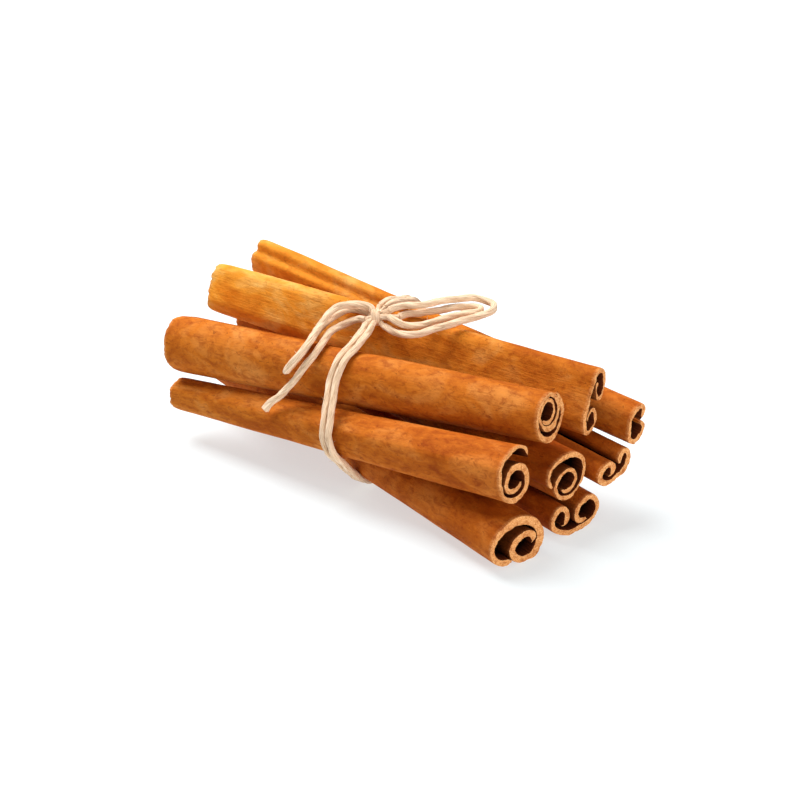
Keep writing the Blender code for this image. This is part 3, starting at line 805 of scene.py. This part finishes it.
def sheet_place(tree, given):
    start = add(tree, "GeometryNodeInputPosition")
    x, y, z = add(tree, "ShaderNodeSeparateXYZ", {0: start}).outputs
    length = add(tree, MATH, {0: given["Length"], 1: 1000.0}, operation="MULTIPLY")
    width = add(tree, MATH, {0: given["Across"], 1: 1000.0}, operation="MULTIPLY")
    plain = add(tree, MATH, {0: 0.5, 1: x}, operation="SUBTRACT")
    wave = add(tree, MATH, {0: plain, 1: math.tau}, operation="MULTIPLY")
    wave = add(tree, MATH, {0: wave}, operation="SINE")
    left = add(tree, MATH, {0: wave, 1: -CROWDED / math.tau, 2: plain}, operation="MULTIPLY_ADD")
    around = add(tree, MATH, {0: y, 1: 0.5}, operation="ADD")
    not_left = add(tree, MATH, {0: 1.0, 1: left}, operation="SUBTRACT")
    not_around = add(tree, MATH, {0: 1.0, 1: around}, operation="SUBTRACT")
    from_left = add(tree, MATH, {0: not_left, 1: length}, operation="MULTIPLY")
    from_end = add(tree, MATH, {0: left, 1: not_left}, operation="MINIMUM")
    from_end = add(tree, MATH, {0: from_end, 1: length}, operation="MULTIPLY")
    from_edge = add(tree, MATH, {0: around, 1: not_around}, operation="MINIMUM")
    from_edge = add(tree, MATH, {0: from_edge, 1: width}, operation="MULTIPLY")
    seeded = add(tree, MATH, {0: given["Seed"], 1: NEXT_STICK}, operation="MULTIPLY")
    run = add(tree, MATH, {0: left, 1: length, 2: seeded}, operation="MULTIPLY_ADD")
    pattern_y = add(tree, MATH, {0: around, 1: width}, operation="MULTIPLY")
    pattern_z = add(tree, MATH, {0: z, 1: 3.0}, operation="MULTIPLY")
    pattern = add(tree, COMBINE, {"X": run, "Y": pattern_y, "Z": pattern_z})
    return Place(left, around, z, from_left, from_end, from_edge, width, pattern, run)


# %% [markdown]
# Next, where the point belongs on the roll. A curve can be sampled at any part of its length, and
# gives its place, its direction and any value stored on it, here the bark's thickness and whether
# it is covered. The roll grows or shrinks evenly towards the left end and narrows a little at its
# very tip. Bark is thinner at its two long edges, and its cut ends are a little worn.


# %% Section of the roll
class Section(NamedTuple):
    place: object           # on the scroll line
    outwards: object
    depth: object           # of the point in the bark, from the scroll line
    covered: object


def section_at(tree, given, at):
    scroll = add(tree, "GeometryNodeMeshToCurve", {"Mesh": given["Scroll"]})
    sampled = {}
    for name in ("wall", "covered"):
        stored = add(tree, "GeometryNodeInputNamedAttribute", {"Name": name}, data_type="FLOAT")
        sampled[name] = add(tree, "GeometryNodeSampleCurve",
                            {"Curves": scroll, "Value": stored, "Factor": at.around},
                            mode="FACTOR", use_all_curves=True, data_type="FLOAT").outputs
    on_line, covered = sampled["wall"], sampled["covered"]["Value"]
    outwards = add(tree, VECTOR, {0: on_line["Tangent"], 1: (1.0, 0.0, 0.0)},
                   operation="CROSS_PRODUCT")
    growth = add(tree, MATH, {0: given["Left Size"], 1: 1.0}, operation="SUBTRACT")
    size = add(tree, MATH, {0: at.left, 1: growth, 2: 1.0}, operation="MULTIPLY_ADD")
    pinch = add(tree, MATH, {0: at.from_left, 1: -1.1}, operation="MULTIPLY")
    pinch = add(tree, MATH, {0: pinch}, operation="EXPONENT")
    pinch = add(tree, MATH, {0: pinch, 1: given["Left Pinch"]}, operation="MULTIPLY")
    pinch = add(tree, MATH, {0: 1.0, 1: pinch}, operation="SUBTRACT")
    size = add(tree, MATH, {0: size, 1: pinch}, operation="MULTIPLY")
    section = add(tree, VECTOR, {0: on_line["Position"], "Scale": size}, operation="SCALE")
    depth = add(tree, MATH, {0: at.through, 1: on_line["Value"]}, operation="MULTIPLY")
    for distance, reach, thinnest in ((at.from_edge, 0.9, 0.45), (at.from_end, 0.35, 0.90)):
        thin = add(tree, RANGE, {"Value": distance, 1: 0.0, 2: reach, 3: thinnest, 4: 1.0},
                   interpolation_type="SMOOTHSTEP")
        depth = add(tree, MATH, {0: depth, 1: thin}, operation="MULTIPLY")
    return Section(section, outwards, depth, covered)


# %% [markdown]
# Dried bark is uneven in three ways. Buckles, 14 by 6 mm, move its whole thickness. A stick can
# have a crease, which gets deeper towards its left end. Ribs, 1 mm apart, follow the fibres and
# swell the skin alone. A displacement texture would do for the ribs, but only nodes can use the
# places on the flat sheet.

# %% Uneven bark
CREASE_WIDTH, CREASE_DEPTH = 1.6, mm(1.3)


def uneven(tree, given, at, section):
    """How far off the scroll line the point is, once the bark has buckled."""
    section_mm = add(tree, VECTOR, {0: section.place, "Scale": 1000.0}, operation="SCALE")
    run = add(tree, COMBINE, {"X": at.run})
    buckled = add(tree, VECTOR, {0: section_mm, 1: run}, operation="ADD")
    buckled = add(tree, VECTOR, {0: buckled, 1: (0.07, 0.16, 0.16)}, operation="MULTIPLY")
    buckle = add(tree, NOISE, {"Vector": buckled, "Scale": 1.0, "Detail": 2.0})
    buckle = add(tree, MATH, {0: buckle, 1: 0.5}, operation="SUBTRACT")
    off_line = add(tree, MATH, {0: buckle, 1: given["Buckle"], 2: section.depth},
                   operation="MULTIPLY_ADD")

    off_crease = add(tree, MATH, {0: at.around, 1: given["Crease"]}, operation="SUBTRACT")
    off_crease = add(tree, MATH, {0: off_crease, 1: at.width}, operation="MULTIPLY")
    off_crease = add(tree, MATH, {0: off_crease}, operation="ABSOLUTE")
    crease = add(tree, RANGE, {"Value": off_crease, 1: 0.0, 2: CREASE_WIDTH, 3: 1.0, 4: 0.0},
                 interpolation_type="SMOOTHERSTEP")
    crease = add(tree, MATH, {0: crease, 1: at.left}, operation="MULTIPLY")
    off_line = add(tree, MATH, {0: crease, 1: -CREASE_DEPTH, 2: off_line},
                   operation="MULTIPLY_ADD")

    ribbed = add(tree, VECTOR, {0: at.pattern, 1: (0.10, 1.1, 0.0)}, operation="MULTIPLY")
    rib = add(tree, NOISE, {"Vector": ribbed, "Scale": 1.0, "Detail": 3.0, "Roughness": 0.6})
    rib = add(tree, MATH, {0: rib, 1: 0.5}, operation="SUBTRACT")
    rib = add(tree, MATH, {0: rib, 1: given["Rib"]}, operation="MULTIPLY")
    return add(tree, MATH, {0: rib, 1: at.through, 2: off_line}, operation="MULTIPLY_ADD")


# %% [markdown]
# A cinnamon stick is cut across while it is dry, so the cut is torn: slow waves with short
# splinters on them, which fade out a millimetre into the stick. It is half as deep again at the
# left end.


# %% Torn cut
def torn_cut(tree, given, at):
    """How far the point is pushed out along the stick, in metres."""
    slow = add(tree, VECTOR, {0: at.pattern, 1: (0.0, 0.35, 0.2)}, operation="MULTIPLY")
    slow = add(tree, NOISE, {"Vector": slow, "Scale": 1.0, "Detail": 4.0, "Roughness": 0.65})
    short = add(tree, VECTOR, {0: at.pattern, 1: (0.0, 2.2, 1.1)}, operation="MULTIPLY")
    short = add(tree, NOISE, {"Vector": short, "Scale": 1.0, "Detail": 2.0})
    torn = add(tree, MATH, {0: short, 1: 0.35, 2: slow}, operation="MULTIPLY_ADD")
    torn = add(tree, MATH, {0: torn, 1: 0.675}, operation="SUBTRACT")   # its own middle
    fade = add(tree, MATH, {0: at.from_end, 1: -0.9}, operation="MULTIPLY")
    fade = add(tree, MATH, {0: fade}, operation="EXPONENT")
    side = add(tree, MATH, {0: 0.5, 1: at.left}, operation="SUBTRACT")
    side = add(tree, MATH, {0: side}, operation="SIGN")
    rougher = add(tree, MATH, {0: at.left, 1: 0.5, 2: 1.0}, operation="MULTIPLY_ADD")
    for factor in (given["Ragged"], rougher, fade, side):
        torn = add(tree, MATH, {0: torn, 1: factor}, operation="MULTIPLY")
    return torn


# %% [markdown]
# The whole tree joins these steps. What the material needs to know is stored while the sheet is
# still flat, because then a face that looks along the sheet is the cut, and one that looks down is
# the inside of the roll.


# %% Bark tree
def bark_tree(finish):
    tree, given = tree_with_inputs("rolled sheet of bark", (
        ("Scroll", "Geometry", None), ("Length", "Float", mm(80.0)), ("Across", "Float", mm(50.0)),
        ("Left Size", "Float", 1.0), ("Left Pinch", "Float", 0.06), ("Along", "Int", 150),
        ("Around", "Int", 170), ("Buckle", "Float", mm(0.40)), ("Rib", "Float", mm(0.20)),
        ("Ragged", "Float", mm(1.0)), ("Crease", "Float", -1.0), ("Right Tone", "Float", 0.5),
        ("Left Tone", "Float", 0.5), ("Seed", "Int", 0), ("Right End", "Vector", None),
        ("Turn", "Vector", None)))
    bark = add(tree, "GeometryNodeMeshCube",
               {"Size": (1.0, 1.0, 1.0), "Vertices X": given["Along"],
                "Vertices Y": given["Around"], "Vertices Z": THROUGH})
    at = sheet_place(tree, given)
    section = section_at(tree, given, at)
    off_line = uneven(tree, given, at, section)
    torn = torn_cut(tree, given, at)

    facing = add(tree, "GeometryNodeInputNormal")
    nx, ny, nz = add(tree, "ShaderNodeSeparateXYZ", {0: facing}).outputs
    cut = add(tree, MATH, {0: nx}, operation="ABSOLUTE")
    cut = add(tree, MATH, {0: cut, 1: 0.9}, operation="GREATER_THAN")
    inner = add(tree, MATH, {0: nz, 1: -0.5}, operation="LESS_THAN")
    # The tone runs from the right end's to the left end's; on the sticks deep in the bundle it is
    # partly painted shade.
    tone = add(tree, RANGE, {"Value": at.left, 3: given["Right Tone"], 4: given["Left Tone"]})
    for name, value, kind, domain in (("sheet_place", at.pattern, "FLOAT_VECTOR", "POINT"),
                                      ("cut", cut, "FLOAT", "FACE"),
                                      ("inner", inner, "FLOAT", "FACE"),
                                      ("tone", tone, "FLOAT", "POINT"),
                                      ("covered", section.covered, "FLOAT", "POINT"),
                                      ("to_end", at.from_end, "FLOAT", "POINT")):
        bark = add(tree, "GeometryNodeStoreNamedAttribute",
                   {"Geometry": bark, "Name": name, "Value": value}, data_type=kind, domain=domain)

    shift = add(tree, VECTOR, {0: section.outwards, "Scale": off_line}, operation="SCALE")
    run = add(tree, MATH, {0: at.left, 1: given["Length"]}, operation="MULTIPLY")
    run = add(tree, MATH, {0: torn, 1: run}, operation="SUBTRACT")
    run = add(tree, COMBINE, {"X": run})
    rolled = add(tree, VECTOR, {0: section.place, 1: shift}, operation="ADD")
    rolled = add(tree, VECTOR, {0: rolled, 1: run}, operation="ADD")
    bark = add(tree, "GeometryNodeSetPosition", {"Geometry": bark, "Position": rolled})
    turn = add(tree, "FunctionNodeEulerToRotation", {0: given["Turn"]})
    bark = add(tree, "GeometryNodeTransform",
               {"Geometry": bark, "Translation": given["Right End"], "Rotation": turn})
    bark = add(tree, "GeometryNodeSetShadeSmooth", {"Geometry": bark})
    bark = add(tree, "GeometryNodeRealizeInstances", {"Geometry": bark})
    bark = add(tree, "GeometryNodeSetMaterial", {"Geometry": bark, "Material": finish})
    add(tree, "NodeGroupOutput", {0: bark})
    return tree


BARK_TREE = bark_tree(BARK)
print("bark tree:", len(BARK_TREE.nodes), "nodes")

# %% Roll the sticks
ALONG = 150                 # points along a stick
AROUND_STEP = 0.32          # mm of bark from point to point across the sheet


def roll_stick(name, stick, seed):
    """One stick: its scroll line, with the bark's thickness and cover on it, grown by the tree."""
    line = scroll_line(stick.scroll)
    start = line_mesh(name, [mm((0.0, across, up)) for across, up, _ in line])
    wall = start.attributes.new("wall", "FLOAT", "POINT")
    wall.data.foreach_set("value", [mm(float(stick.wall * thick)) for thick in line[:, 2]])
    covered = start.attributes.new("covered", "FLOAT", "POINT")
    covered.data.foreach_set("value", covered_share(line).astype(float))
    across = length_of(line[:, :2])
    made = grow("cinnamon_" + name, start, BARK_TREE, {
        "Length": mm(stick.length), "Across": mm(across), "Left Size": stick.left, "Along": ALONG,
        "Around": round(across / AROUND_STEP), "Right Tone": stick.tone[0],
        "Left Tone": stick.tone[1], "Crease": stick.crease, "Seed": seed,
        "Right End": mm(stick.end) + mm(LAYOUT_MIDDLE),
        "Turn": Vector((0.0, -math.radians(stick.pitch), math.radians(stick.yaw)))}, sharp_over=50)
    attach(made, BODY)
    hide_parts(name)


for number, (name, stick) in enumerate(STICKS.items()):
    roll_stick(name, stick, number + 1)
